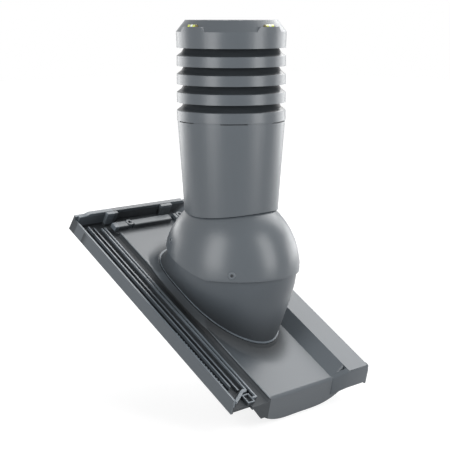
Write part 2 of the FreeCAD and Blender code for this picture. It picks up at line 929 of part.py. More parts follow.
def make_ball_base():
    """The fixed half of the ball: open above for the duct, flanged below."""
    foot = -size["base_drop"].value
    wall = size["ball_wall"].value
    flange = size["flange_thickness"].value
    height = size["boss_height"].value
    shell = faceted(base_rings(0.0, 0.0)).cut(faceted(base_rings(wall, OVERRUN)))
    added = [
        foot_plate(foot, size["base_edge"].value, size["base_edge"].value),
        foot_plate(foot, -wall * 0.5, flange),
    ]
    cuts = [passage(foot - OVERRUN, flange + OVERRUN * 2)]
    bore = size["base_screw_radius"].value + size["thread_gap"].value
    for spot in base_screw_points():
        start = spot + V(0, 0, foot)
        added.append(Part.makeCylinder(size["boss_radius"].value, height, start))
        cuts.append(Part.makeCylinder(bore, height - size["boss_roof"].value, start))
    shell = shell.fuse(added).cut(cuts)
    return keep("ball_base", solid_feature("ball_base", shell, tile_place))


def make_base_seal():
    """A rubber ring under the ball base."""
    thickness = size["seal_thickness"].value
    level = -size["base_drop"].value - thickness
    bore = size["base_screw_radius"].value + size["fit_gap"].value
    through = thickness + OVERRUN * 2
    cuts = [passage(level - OVERRUN, through)]
    for spot in base_screw_points():
        cuts.append(Part.makeCylinder(bore, through, spot + V(0, 0, level - OVERRUN)))
    ring = foot_plate(level, -size["seal_inset"].value, thickness).cut(cuts)
    return keep("base_seal", solid_feature("base_seal", ring, tile_place))


def make_base_screws():
    """Six screws from beneath the tile's raised collar into the base's bosses."""
    under = -size["base_drop"].value - size["seal_thickness"].value - size["tile_wall"].value
    tip = -size["base_drop"].value + size["boss_height"].value - size["base_screw_spare"].value
    reach = tip - under
    head_height = size["base_screw_head_height"].value
    screws = []
    for spot in base_screw_points():
        head = Part.makeCone(
            size["base_screw_head"].value * 0.75, size["base_screw_head"].value, head_height,
            spot + V(0, 0, under - head_height))
        shank = Part.makeCylinder(size["base_screw_radius"].value, reach, spot + V(0, 0, under))
        screws.append(head.fuse(shank))
    return keep("base_screws", solid_feature("base_screws", Part.makeCompound(screws), tile_place))


# tile, drawn in its own frame as the ball base is

def tile_section():
    """The moulding across the slope: outer wall, channel floor, pan and roll."""
    wall = size["tile_wall"]
    left = size["tile_left"]
    right = size["tile_right"]
    rim = size["rim_thickness"]
    bevel = size["roll_bevel"]
    return [
        (left, size["rim_foot_level"]),
        (left + 1.5, size["rim_level"]),
        (left + rim, size["rim_level"]),
        (left + rim + 0.8, size["channel_level"]),
        (size["channel_right"], size["channel_level"]),
        (size["pan_left"], size["pan_level"]),
        (size["pan_right"], size["pan_level"]),
        (size["roll_left"], size["roll_level"]),
        (right - bevel, size["roll_level"]),
        (right, size["roll_level"] - bevel),
        (right, size["roll_level"] - size["roll_drop"]),
        (right - wall, size["roll_level"] - size["roll_drop"]),
        (right - wall, size["roll_level"] - wall - bevel * 0.5),
        (right - wall - bevel * 0.5, size["roll_level"] - wall),
        (size["roll_left"] + wall * 0.4, size["roll_level"] - wall),
        (size["pan_right"] + wall * 0.4, size["pan_level"] - wall),
        (size["pan_left"], size["pan_level"] - wall),
        (size["channel_right"], size["channel_level"] - wall),
        (left + rim, size["channel_level"] - wall),
        (left + rim - 1.0, size["rim_foot_level"]),
    ]


def rib_block(body, name, x, level, width, head, foot, base):
    """A rib along the slope, standing on the channel floor."""
    half = size_of(width) * 0.5
    x = size_of(x)
    sketch = draw(new_sketch(body, name + "_outline", "XZ_Plane", -size_of(head)), [
        (x - half - 0.6, base),
        (x + half + 0.6, base),
        (x + half, level),
        (x - half, level),
    ])
    return feature(body, "Pad", name, sketch, Length=size_of(head) - foot)


def block(body, name, x_low, x_high, y_low, y_high, low, high):
    """A plain block of the moulding between six sheet positions."""
    sketch = draw(new_sketch(body, name + "_outline", "XY_Plane", low), [
        (x_low, y_low),
        (x_high, y_low),
        (x_high, y_high),
        (x_low, y_high),
    ])
    return feature(body, "Pad", name, sketch, Length=size_of(high) - low)


def make_moulding():
    """The tile's skin with its ribs, head upstand, cross bar and nail bosses."""
    body = new_body("tile_moulding")
    head = size["tile_head"]
    skin = draw(new_sketch(body, "tile_skin_outline", "XZ_Plane", -head), tile_section())
    feature(body, "Pad", "tile_skin", skin, Length=head - size["roll_foot"] + 12.0)
    floor = size["channel_level"] - 1.0
    thin = size["rib_thickness"]
    rib_head = head - 18.0
    rib_block(body, "rib_wide", -115.0, -62.0, thin, rib_head, -170.0, floor)
    rib_block(body, "rib_fine", -103.0, -66.0, thin, rib_head, -177.0, floor)
    rib_block(body, "rib_twin_outer", -92.1, -64.0, thin, rib_head - 6.0, -169.0, floor)
    rib_block(body, "rib_twin_inner", -86.0, -64.0, thin, rib_head - 6.0, -196.0, floor)
    block(body, "rib_turn", -93.3, -84.8, -198.0, -195.5, floor, -64.0)
    right_inner = size["tile_right"] - 1.0
    block(
        body, "upstand", size["tile_left"] + 1.5, right_inner, head - size["upstand_thickness"], head,
        size["channel_level"] - 1.0, size["upstand_level"])
    for index, x in enumerate((-78.0, 32.0)):
        block(
            body, "upstand_gusset_%d" % index, x, x + 10.0, head - 14.0, head - 1.0,
            size["channel_level"] - 1.0, size["upstand_level"] - 5.0)
    low = size["pan_level"] - 1.0
    bar = size["bar_position"]
    half = size["bar_width"] * 0.5
    block(body, "cross_bar", -72.0, 43.0, bar - half, bar + half, low, size["bar_level"])
    block(body, "cross_bar_end", 55.0, 88.0, bar - half, bar + half, low, size["bar_level"])
    for index, x in enumerate((size["nail_left"], size["nail_right"])):
        ring = draw_circle(new_sketch(body, "nail_boss_outline_%d" % index, "XY_Plane", low), x, bar, size["nail_boss_radius"])
        feature(body, "Pad", "nail_boss_%d" % index, ring, Length=size["bar_level"] - low + 1.0)
    tooth = size["tooth_size"]
    start = size["tooth_start"]
    inner = size["tile_left"] + size["rim_thickness"]
    first = block(body, "comb_tooth", inner - 0.5, inner + tooth, start - tooth, start, size["rim_level"] - 4.0, size["rim_level"])
    comb = body.newObject("PartDesign::LinearPattern", "comb")
    comb.Originals = [first]
    comb.Direction = (plane_of(body, "Y_Axis"), [""])
    comb.Reversed = True
    bind(comb, Length=size["tooth_pitch"] * (size["tooth_count"] - 1.0), Occurrences=size["tooth_count"])
    body.Tip = comb
    return body


def foot_cutter():
    """What lies in front of the leaning foot, first of the pan and then of the roll."""
    grade = math.tan(math.radians(size["foot_lean"].value))
    left = size["apron_left"].value
    right = size["roll_left"].value
    reach = size["tile_right"].value - size["tile_left"].value
    cutters = []
    for foot, level, start, end in (
            ("side_foot", "pan_level", left - reach, left),
            ("tile_foot", "pan_level", left, right),
            ("roll_foot", "roll_level", right, right + reach)):
        lip = size[foot].value - size[level].value * grade
        corners = [
            V(start, lip - reach * grade, -reach),
            V(start, lip + reach * grade, reach),
            V(start, lip - reach * 2, reach),
            V(start, lip - reach * 2, -reach),
        ]
        side = Part.Face(Part.makePolygon(corners + corners[:1]))
        cutters.append(side.extrude(V(end - start, 0, 0)))
    return cutters[0].fuse(cutters[1:])


def apron():
    """The hanging front wall, whose lower edge bellies between channel and roll."""
    lean = size["foot_lean"].value
    wall = size["tile_wall"].value
    pan = size["pan_level"].value
    deep = pan - size["apron_depth"].value
    left = size["apron_left"].value
    right = size["tile_right"].value
    roll_low = size["roll_level"].value - size["roll_drop"].value
    flank = size["pan_right"].value
    roll_left = size["roll_left"].value
    roll_top = size["roll_level"].value
    bevel = size["roll_bevel"].value
    floor = size["channel_level"].value - 0.5
    toe = size["apron_toe"].value
    toe_level = pan - size["apron_toe_drop"].value
    points = [
        V(left, 0, floor), V(size["channel_right"].value, 0, floor),
        V(size["pan_left"].value, 0, pan - 0.5), V(flank, 0, pan - 0.5), V(roll_left, 0, roll_top - 0.5), V(right - bevel, 0, roll_top - 0.5), V(right, 0, roll_top - bevel - 0.5), V(right, 0, roll_low)]
    edges = [Part.LineSegment(points[i], points[i + 1]).toShape() for i in range(len(points) - 1)]
    belly = Part.BSplineCurve()
    belly.interpolate([
        V(right, 0, roll_low), V(right - 26, 0, roll_low - 2), V(flank + 16, 0, deep + 9),
        V(flank - 30, 0, deep), V(0, 0, deep), V(-34, 0, deep), V(-51, 0, deep + 2.5),
        V(toe + 7, 0, toe_level)])
    edges.append(belly.toShape())
    for start, end in (
            (V(toe + 7, 0, toe_level), V(toe, 0, toe_level)),
            (V(toe, 0, toe_level), V(left, 0, floor))):
        edges.append(Part.LineSegment(start, end).toShape())
    outline = Part.Face(Part.Wire(edges))
    sheet_wall = outline.extrude(V(0, wall, 0))
    shear = FreeCAD.Matrix()
    shear.A23 = math.tan(math.radians(lean))
    shear.A24 = size["tile_foot"].value - pan * math.tan(math.radians(lean))
    return sheet_wall.transformGeometry(shear)


# How the tile's skin sweeps up to the raised collar under the base: how far down, and
# the shares of the collar's spread at the sides and along the slope at that depth.
COLLAR_SWEEP = [
    (0.0, 0.0, 0.0),
    (0.3, 0.2, 0.06),
    (0.55, 0.4, 0.22),
    (0.72, 0.6, 0.48),
    (0.8, 0.8, 0.8),
    (1.0, 1.0, 1.0),
]


def pedestal(inset, overrun):
    """The raised collar that the ball base stands on, at a depth under its skin."""
    top = -size["base_drop"].value - size["seal_thickness"].value
    low = size["pan_level"].value - size["tile_wall"].value
    grow = size["pedestal_margin"].value - inset
    rings = []
    for share, side_share, along_share in COLLAR_SWEEP:
        level = top + (low - top) * share - inset
        half_width = size["base_half_width"].value + grow + size["pedestal_side"].value * side_share
        reach = size["base_half_length"].value + grow + size["pedestal_spread"].value * along_share
        centre = V(0, size["base_shift"].value, level)
        rings.append(oval_points(centre, half_width, V(0, reach, 0), FOOT_POWERS))
    if overrun:
        rings.append([point - V(0, 0, overrun) for point in rings[-1]])
    return faceted(rings)


def make_tile():
    """The whole tile, pitched with the roof."""
    moulding = make_moulding()
    doc.recompute()
    front = solid_feature("foot_cut", foot_cutter())
    collar = solid_feature("collar_form", pedestal(0.0, 0.0))
    under = solid_feature("collar_hollow", pedestal(size["tile_wall"].value, OVERRUN))
    front_wall = solid_feature("apron_form", apron())
    reach = size["tile_wall"] * 12.0
    low = size["pan_level"] - reach * 0.5
    hole = solid_feature("duct_way", passage(low.value, reach.value))
    bores = []
    for index, x in enumerate((size["nail_left"], size["nail_right"])):
        bore = primitive("Cylinder", "nail_hole_%d" % index, Radius=size["nail_radius"], Height=reach)
        placed(bore, x, size["bar_position"], low)
        bores.append(bore)
    for index, spot in enumerate(base_screw_points()):
        bore = primitive(
            "Cylinder", "screw_hole_%d" % index,
            Radius=size["base_screw_radius"] + size["fit_gap"], Height=reach)
        placed(bore, spot.x, spot.y, low)
        bores.append(bore)
    nibs = []
    for index, x in enumerate((size["nib_left"], size["nib_right"])):
        nib = primitive(
            "Box", "nib_%d" % index,
            Length=size["nib_width"], Width=size["nib_thickness"], Height=size["nib_depth"])
        placed(nib, x, size["nib_position"], size["pan_level"] - SINK - size["nib_depth"])
        nibs.append(nib)
    trimmed = cut("tile_trimmed", moulding, front)
    blank = fuse("tile_blank", trimmed, collar, front_wall, *nibs)
    tile = cut("tile_plate", blank, under, hole, *bores)
    tile.Placement = tile_place
    return keep("tile_plate", tile)


def build():
    """Every sub-part in the order it is put together on the roof."""
    make_tile()
    make_ball_base()
    make_base_seal()
    make_base_screws()
    make_hood()
    for name, point, outward in lock_points():
        make_lock_screw(name, point, outward)
        make_clamp_nut(name, point, outward)
    make_duct()
    make_neck_seal()
    make_cowl()
    make_collar()
    for step, name in enumerate(("lower", "middle", "upper"), start=1):
        make_louvre("louvre_ring_" + name, step)
    make_cap()
    make_vial("vial_left", 180.0)
    make_vial("vial_front", 270.0)


def check_and_write():
    """Stop on any failed object, then write one STEP file for each sub-part."""
    for thing in doc.Objects:
        if "Invalid" in thing.State or "Error" in thing.State:
            raise RuntimeError("%s failed: %s" % (thing.Label, thing.State))
    os.makedirs("parts", exist_ok=True)
    for name, thing in parts.items():
        shape = thing.Shape
        if shape.isNull() or not shape.isValid():
            raise RuntimeError("%s has no sound shape" % name)
        if len(shape.Solids) < 1:
            raise RuntimeError("%s has no solid" % name)
        print(name, len(shape.Solids), round(shape.Volume / 1000.0, 2), "cm3")
        shape.exportStep("parts/%s.step" % name)


build()
doc.recompute()
check_and_write()
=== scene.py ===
import bpy
import math
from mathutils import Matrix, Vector


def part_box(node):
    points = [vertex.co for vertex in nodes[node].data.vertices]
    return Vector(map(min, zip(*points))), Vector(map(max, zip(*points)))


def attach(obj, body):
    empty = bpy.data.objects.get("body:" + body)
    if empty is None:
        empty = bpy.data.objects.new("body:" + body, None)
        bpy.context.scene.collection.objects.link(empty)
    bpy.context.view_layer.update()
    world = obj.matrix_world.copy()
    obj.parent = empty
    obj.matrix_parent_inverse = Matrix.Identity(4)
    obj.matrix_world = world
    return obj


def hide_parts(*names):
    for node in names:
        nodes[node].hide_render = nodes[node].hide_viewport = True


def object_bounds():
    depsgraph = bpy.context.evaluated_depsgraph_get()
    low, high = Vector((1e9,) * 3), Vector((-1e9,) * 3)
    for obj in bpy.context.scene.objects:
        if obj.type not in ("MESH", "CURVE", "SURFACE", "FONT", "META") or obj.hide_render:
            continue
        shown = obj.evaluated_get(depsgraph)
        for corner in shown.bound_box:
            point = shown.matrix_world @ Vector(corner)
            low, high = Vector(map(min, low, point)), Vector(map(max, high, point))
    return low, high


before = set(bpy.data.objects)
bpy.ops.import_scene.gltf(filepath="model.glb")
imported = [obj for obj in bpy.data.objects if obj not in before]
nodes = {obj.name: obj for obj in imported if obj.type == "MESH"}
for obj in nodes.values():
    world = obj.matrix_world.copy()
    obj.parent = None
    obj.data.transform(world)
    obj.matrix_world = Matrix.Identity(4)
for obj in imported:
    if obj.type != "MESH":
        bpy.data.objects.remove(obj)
cad_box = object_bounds()
bpy.ops.object.select_all(action="DESELECT")


# The photographer's table: a pale sweep that shows white and keeps a soft shadow of
# the tile, under a long lens a little above the cap on the open side of the tile.
sweep_size = 14
air_under_tile = 0.002
bpy.ops.mesh.primitive_plane_add(size=sweep_size, location=(0, 0, cad_box[0].z - air_under_tile))
studio_floor = bpy.context.object
studio_floor.name = "studio_floor"
bpy.ops.object.select_all(action="DESELECT")


def ramp_of(tree, source, start, end, low, high, smooth=False):
    """A value that goes from low at start to high at end, and stays there."""
    ramp = tree.nodes.new("ShaderNodeMapRange")
    ramp.interpolation_type = "SMOOTHSTEP" if smooth else "LINEAR"
    for socket, value in (("From Min", start), ("From Max", end), ("To Min", low), ("To Max", high)):
        ramp.inputs[socket].default_value = value
    tree.links.new(source, ramp.inputs["Value"])
    return ramp.outputs["Result"]


def reckoned(tree, operation, *values):
    """One sum of two or three values, each a number or the output of another node."""
    node = tree.nodes.new("ShaderNodeMath")
    node.operation = operation
    for socket, value in zip(node.inputs, values):
        if isinstance(value, float):
            socket.default_value = value
        else:
            tree.links.new(value, socket)
    return node.outputs[0]


def shown_and_lighting(tree, shown, lighting):
    """One shader for the camera and for mirrored rays, the other for all other light."""
    ray = tree.nodes.new("ShaderNodeLightPath").outputs
    mirrored = reckoned(tree, "MAXIMUM", ray["Is Glossy Ray"], ray["Is Transmission Ray"])
    seen = reckoned(tree, "MAXIMUM", ray["Is Camera Ray"], mirrored)
    mix = tree.nodes.new("ShaderNodeMixShader")
    for socket, source in zip(mix.inputs, (seen, lighting.outputs[0], shown.outputs[0])):
        tree.links.new(source, socket)
    return mix.outputs[0]


sweep_white = bpy.data.materials.new("sweep_white")
sweep_white.use_nodes = True
sweep = sweep_white.node_tree
plain = sweep.nodes["Principled BSDF"]
plain.inputs["Base Color"].default_value = (0.38, 0.38, 0.39, 1)
plain.inputs["Roughness"].default_value = 0.9
plain.inputs["Specular IOR Level"].default_value = 0.1
near_reach, far_reach = 0.5, 2.2
near_glow, far_glow = 0.78, 1.0
floor_place = sweep.nodes.new("ShaderNodeTexCoord")
floor_reach = sweep.nodes.new("ShaderNodeVectorMath")
floor_reach.operation = "LENGTH"
sweep.links.new(floor_place.outputs["Object"], floor_reach.inputs[0])
glow = sweep.nodes.new("ShaderNodeEmission")
glow_ramp = ramp_of(sweep, floor_reach.outputs["Value"], near_reach, far_reach, near_glow, far_glow)
sweep.links.new(glow_ramp, glow.inputs["Strength"])
shadow_keeper = sweep.nodes.new("ShaderNodeBsdfDiffuse")
shadow_keeper.inputs["Color"].default_value = (0.34, 0.34, 0.34, 1)
shown = sweep.nodes.new("ShaderNodeAddShader")
sweep.links.new(glow.outputs[0], shown.inputs[0])
sweep.links.new(shadow_keeper.outputs[0], shown.inputs[1])
sweep.links.new(shown_and_lighting(sweep, shown, plain), sweep.nodes["Material Output"].inputs["Surface"])
studio_floor.data.materials.append(sweep_white)

studio_world = bpy.data.worlds.new("studio_world")
bpy.context.scene.world = studio_world
studio_world.use_nodes = True
sky = studio_world.node_tree
ambient = sky.nodes["Background"]
ambient.inputs["Color"].default_value = (0.93, 0.96, 1.0, 1)
ambient.inputs["Strength"].default_value = 0.1
backdrop = sky.nodes.new("ShaderNodeBackground")
backdrop.inputs["Color"].default_value = (1, 1, 1, 1)
backdrop.inputs["Strength"].default_value = 1.0
sky.links.new(shown_and_lighting(sky, backdrop, ambient), sky.nodes["World Output"].inputs["Surface"])

camera_heading = math.radians(-44.199)
camera_distance = 1.7151
camera_height = 0.3734
camera_dip_degrees = 8.219
camera_swing = 0.00536
camera_data = bpy.data.cameras.new("studio_camera")
camera_data.lens = 93.28
camera_data.sensor_width = 36
camera_data.shift_y = -0.1
camera_data.clip_end = 50
camera = bpy.data.objects.new("studio_camera", camera_data)
bpy.context.scene.collection.objects.link(camera)
camera.location = (
    math.sin(camera_heading) * camera_distance,
    -math.cos(camera_heading) * camera_distance,
    camera_height,
)
camera.rotation_euler = (math.radians(90 - camera_dip_degrees), 0, camera_heading + camera_swing)
bpy.context.scene.camera = camera
bpy.context.scene.view_settings.view_transform = "Standard"

lamp_aim = Vector((0, 0, 0.05))
for lamp_name, place, width, height, power in (
        ("window_left", (-1.3, -0.14, 0.5), 0.66, 1.3, 14.5),
        ("window_right", (0.3, -1.3, 0.5), 0.6, 1.3, 13.5),
        ("rear_left", (-0.22, 2.19, 0.2), 1.7, 0.8, 14),
        ("rear_right", (2.19, -0.16, 0.2), 1.7, 0.8, 14),
        ("high_panel", (1.6, 0.42, 1.66), 2.2, 2.2, 56)):
    lamp_data = bpy.data.lights.new(lamp_name, "AREA")
    lamp_data.shape = "RECTANGLE"
    lamp_data.size = width
    lamp_data.size_y = height
    lamp_data.energy = power
    lamp = bpy.data.objects.new(lamp_name, lamp_data)
    bpy.context.scene.collection.objects.link(lamp)
    lamp.location = place
    lamp.visible_camera = False
    lamp.rotation_euler = (lamp_aim - Vector(place)).to_track_quat("-Z", "Y").to_euler()


# The tile: one injection moulding in anthracite plastic, with a fine satin grain
# from the mould. It hangs on the batten and is nailed through the head bar.
anthracite = (0.082, 0.095, 0.107)
grain_depth = 0.0002
grain_spread = 0.1
roof_pitch = math.radians(30)


def satin_grain():
    """Fine mould grain and faint flow marks: a colour, a roughness and a height."""
    group = bpy.data.node_groups.new("satin_grain", "ShaderNodeTree")
    face = group.interface
    for name, value in (
            ("Grain Scale", 1400.0), ("Flow Scale", 9.0), ("Tint", 0.06),
            ("Gloss", 0.3), ("Shade", 1.0)):
        socket = face.new_socket(name, in_out="INPUT", socket_type="NodeSocketFloat")
        socket.default_value = value
    base = face.new_socket("Colour", in_out="INPUT", socket_type="NodeSocketColor")
    base.default_value = (*anthracite, 1)
    face.new_socket("Colour", in_out="OUTPUT", socket_type="NodeSocketColor")
    face.new_socket("Roughness", in_out="OUTPUT", socket_type="NodeSocketFloat")
    face.new_socket("Height", in_out="OUTPUT", socket_type="NodeSocketFloat")
    inside = group.nodes.new("NodeGroupInput").outputs
    outside = group.nodes.new("NodeGroupOutput").inputs
    place = group.nodes.new("ShaderNodeTexCoord")
    grain = group.nodes.new("ShaderNodeTexNoise")
    grain.inputs["Detail"].default_value = 3
    flow = group.nodes.new("ShaderNodeTexNoise")
    flow.inputs["Detail"].default_value = 2
    for texture, scale in ((grain, "Grain Scale"), (flow, "Flow Scale")):
        group.links.new(place.outputs["Object"], texture.inputs["Vector"])
        group.links.new(inside[scale], texture.inputs["Scale"])
    # Shade scales the colour: it carries the painted shade and painted highlights that a material feeds in.
    drift = reckoned(group, "MULTIPLY_ADD", flow.outputs["Fac"], inside["Tint"], inside["Shade"])
    tint = group.nodes.new("ShaderNodeMix")
    tint.data_type = "RGBA"
    tint.blend_type = "MULTIPLY"
    tint.inputs[0].default_value = 1.0
    group.links.new(inside["Colour"], tint.inputs[6])
    group.links.new(drift, tint.inputs[7])
    gloss = reckoned(group, "MULTIPLY_ADD", grain.outputs["Fac"], grain_spread, inside["Gloss"])
    group.links.new(tint.outputs[2], outside["Colour"])
    group.links.new(gloss, outside["Roughness"])
    group.links.new(grain.outputs["Fac"], outside["Height"])
    return group


grain_group = satin_grain()


def moulded_plastic(name, colour, gloss, bump=0.1, tint=0.08, shine=0.5):
    """Plastic straight from the mould, with the satin grain over it."""
    material = bpy.data.materials.new(name)
    material.use_nodes = True
    tree = material.node_tree
    shader = tree.nodes["Principled BSDF"]
    grain = tree.nodes.new("ShaderNodeGroup")
    grain.name = "grain"
    grain.node_tree = grain_group
    grain.inputs["Colour"].default_value = (*colour, 1)
    grain.inputs["Gloss"].default_value = gloss
    grain.inputs["Tint"].default_value = tint
    relief = tree.nodes.new("ShaderNodeBump")
    relief.inputs["Strength"].default_value = bump
    relief.inputs["Distance"].default_value = grain_depth
    tree.links.new(grain.outputs["Colour"], shader.inputs["Base Color"])
    tree.links.new(grain.outputs["Roughness"], shader.inputs["Roughness"])
    tree.links.new(grain.outputs["Height"], relief.inputs["Height"])
    tree.links.new(relief.outputs["Normal"], shader.inputs["Normal"])
    shader.inputs["Specular IOR Level"].default_value = shine
    return material


def paint_shade_over(material, group):
    """Painted shade and painted highlights over a plastic, from the group's Shade, and rougher where it is
    shaded.
    """
    deepest_painted_shade = 0.3
    shaded_roughness = 0.35
    tree = material.node_tree
    grain = tree.nodes["grain"]
    painted_shading = tree.nodes.new("ShaderNodeGroup")
    painted_shading.node_tree = group
    tree.links.new(painted_shading.outputs["Shade"], grain.inputs["Shade"])
    dull = ramp_of(tree, painted_shading.outputs["Shade"], deepest_painted_shade, 1.0, shaded_roughness, 0.0)
    rough = reckoned(tree, "ADD", grain.outputs["Roughness"], dull)
    tree.links.new(rough, tree.nodes["Principled BSDF"].inputs["Roughness"])


def slope_frame(group):
    """A place on the roof's slope: as a vector, and as across, along and height."""
    place = group.nodes.new("ShaderNodeTexCoord")
    level = group.nodes.new("ShaderNodeMapping")
    level.inputs["Rotation"].default_value = (-roof_pitch, 0, 0)
    parts = group.nodes.new("ShaderNodeSeparateXYZ")
    group.links.new(place.outputs["Object"], level.inputs["Vector"])
    group.links.new(level.outputs["Vector"], parts.inputs[0])
    return level.outputs["Vector"], parts.outputs


def rising(group, source, edge, top=1.0):
    """0 below an edge and up to top above it."""
    return ramp_of(group, source, *edge, 0.0, top, smooth=True)


def falling(group, source, edge):
    """1 below an edge and 0 above it."""
    return ramp_of(group, source, *edge, 1.0, 0.0, smooth=True)


def painted_tile_shade():
    """Painted shade round the foot of the base, in the channels, behind the head rail and on the nail bar's
    front with a painted shadow before it, and a painted highlight on the rib tops.
    """
    group = bpy.data.node_groups.new("painted_tile_shade", "ShaderNodeTree")
    group.interface.new_socket("Shade", in_out="OUTPUT", socket_type="NodeSocketFloat")
    slope, (across, along, height) = slope_frame(group)

    # Painted shade round the foot of the base, fading out across an oval.
    foot_half_width, foot_half_length = 0.0675, 0.1145
    foot_shift = 0.07
    foot_painted_shade, shade_reach = 0.22, 1.34
    oval = group.nodes.new("ShaderNodeMapping")
    oval.inputs["Location"].default_value = (0, foot_shift, 0)
    oval.inputs["Scale"].default_value = (1 / foot_half_width, 1 / foot_half_length, 0)
    group.links.new(slope, oval.inputs["Vector"])
    reach = group.nodes.new("ShaderNodeVectorMath")
    reach.operation = "LENGTH"
    group.links.new(oval.outputs["Vector"], reach.inputs[0])
    foot = ramp_of(group, reach.outputs["Value"], 1.0, shade_reach, foot_painted_shade, 1.0, smooth=True)

    # Painted shade in the channels below the rib tops.
    channels_left, channels_right = (-0.1336, -0.1332), (-0.0642, -0.0636)
    below_ribs = (-0.0668, -0.0664)
    channel = reckoned(group, "MULTIPLY", rising(group, across, channels_left),
                       falling(group, across, channels_right))
    channel = reckoned(group, "MULTIPLY", channel, falling(group, height, below_ribs))

    # Painted shade on the head rail's inner face.
    rail_front, rail_top = (0.196, 0.2), (-0.0512, -0.0508)
    behind = reckoned(group, "MULTIPLY", rising(group, along, rail_front), falling(group, height, rail_top))

    # Painted shade on the nail bar's front face and a painted shadow in front of it.
    bar_approach, bar_front = (0.164, 0.1775), (0.1785, 0.179)
    bar_top, bar_end = (-0.0588, -0.0584), (0.044, 0.05)
    bar = reckoned(group, "MULTIPLY", rising(group, along, bar_approach), falling(group, along, bar_front))
    bar = reckoned(group, "MULTIPLY", bar, falling(group, height, bar_top))
    bar = reckoned(group, "MULTIPLY", bar, falling(group, across, bar_end))

    # How deep the painted shade of the channels, rail and bar goes.
    shade_depth = 0.62
    painted_shading = reckoned(group, "MAXIMUM", reckoned(group, "MAXIMUM", channel, behind), bar)
    unshaded = reckoned(group, "MULTIPLY_ADD", painted_shading, -shade_depth, 1.0)

    # A painted highlight on the rib tops.
    rib_tops, rib_top_highlight = (-0.0664, -0.066), 0.8
    ribs_left, ribs_right = (-0.1346, -0.134), (-0.066, -0.064)
    top = reckoned(group, "MULTIPLY", rising(group, height, rib_tops, rib_top_highlight),
                   falling(group, across, ribs_right))
    top = reckoned(group, "MULTIPLY", top, rising(group, across, ribs_left))
    shade = reckoned(group, "MULTIPLY", reckoned(group, "ADD", unshaded, top), foot)
    outside = group.nodes.new("NodeGroupOutput")
    group.links.new(shade, outside.inputs["Shade"])
    return group


def take(piece):
    """Select one piece alone and make it the active one."""
    bpy.ops.object.select_all(action="DESELECT")
    bpy.context.view_layer.objects.active = piece
    piece.select_set(True)


def break_edges(piece, width, segments, crease=30):
    """Round the sharp edges of the active piece."""
    broken = piece.modifiers.new("broken_edge", "BEVEL")
    broken.width = width
    broken.segments = segments
    broken.limit_method = "ANGLE"
    broken.angle_limit = math.radians(crease)
    bpy.ops.object.modifier_apply(modifier="broken_edge")


def smooth_skin(piece, crease):
    """Shade the active piece smooth up to its creases, with its flats kept flat."""
    bpy.ops.object.shade_smooth_by_angle(angle=math.radians(crease))
    even = piece.modifiers.new("even_normals", "WEIGHTED_NORMAL")
    even.keep_sharp = True
    bpy.ops.object.modifier_apply(modifier="even_normals")


def finished(node, body, material, edge, shape=None):
    """A moulding as it leaves the tool: its flats whole, its sharp edges broken."""
    weld_distance = 0.00001
    flat_angle = math.radians(0.3)
    crease = 30
    piece = bpy.data.objects.new(node + "_moulded", nodes[node].data.copy())
    bpy.context.scene.collection.objects.link(piece)
    take(piece)
    bpy.ops.mesh.customdata_custom_splitnormals_clear()
    bpy.ops.object.mode_set(mode="EDIT")
    bpy.ops.mesh.select_all(action="SELECT")
    bpy.ops.mesh.remove_doubles(threshold=weld_distance)
    bpy.ops.mesh.dissolve_limited(angle_limit=flat_angle)
    bpy.ops.object.mode_set(mode="OBJECT")
    if shape:
        shape(piece)
    break_edges(piece, edge, segments=2, crease=crease)
    smooth_skin(piece, crease)
    piece.data.materials.clear()
    piece.data.materials.append(material)
    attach(piece, body)
    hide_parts(node)
    bpy.ops.object.select_all(action="DESELECT")


pan_level, roll_level = -0.066, -0.050
pan_foot, roll_foot = -0.207, -0.214
pan_left, pan_right = -0.063, 0.066
roll_left, roll_right = 0.0874, 0.1296
tile_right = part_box("tile_plate")[1].x
roll_chamfer = tile_right - roll_right
skin_line = [
    (pan_left, pan_level), (pan_right, pan_level), (roll_left, roll_level),
    (roll_right, roll_level), (tile_right, roll_level - roll_chamfer)]
foot_grade = math.tan(math.radians(17))
lip_round = 0.0045


def on_foot_lip(point):
    """Whether a point is on the upper edge of the leaning foot."""
    near, slack = 0.0004, 0.0002
    along = point.y * math.cos(roof_pitch) + point.z * math.sin(roof_pitch)
    height = point.z * math.cos(roof_pitch) - point.y * math.sin(roof_pitch)
    foot, level = (roll_foot, roll_level) if point.x > roll_left + slack else (pan_foot, pan_level)
    if abs(along - foot - (height - level) * foot_grade) > near:
        return False
    for (x0, n0), (x1, n1) in zip(skin_line, skin_line[1:]):
        if x0 - slack <= point.x <= x1 + slack:
            if abs(height - n0 - (n1 - n0) * (point.x - x0) / (x1 - x0)) < near:
                return True
    return False


def round_foot_lip(piece):
    """Round the foot's upper edge, where the pan and the roll turn down."""
    bpy.ops.object.mode_set(mode="EDIT")
    bpy.ops.mesh.select_mode(type="EDGE")
    bpy.ops.mesh.select_all(action="DESELECT")
    bpy.ops.object.mode_set(mode="OBJECT")
    points = piece.data.vertices
    for edge in piece.data.edges:
        edge.select = all(on_foot_lip(points[i].co) for i in edge.vertices)
    bpy.ops.object.mode_set(mode="EDIT")
    bpy.ops.mesh.bevel(offset=lip_round, segments=4, affect="EDGES")
    bpy.ops.object.mode_set(mode="OBJECT")


tile_plastic = moulded_plastic("tile_anthracite", anthracite, gloss=0.3, shine=0.44)
# The tile gets painted shade in its hollows and a painted highlight on its rib tops.
paint_shade_over(tile_plastic, painted_tile_shade())
finished("tile_plate", "tile", tile_plastic, edge=0.0006, shape=round_foot_lip)


# The finer forms of the same moulding: the head rail with its gussets, the nail bar
# with its bosses, the guide wall, pocket and clip seat at the channels' foot, the
# roll's nose and the bead along the pan.
head_floor = -70.3
channel_floor = -70.6
guide_top = -64.1


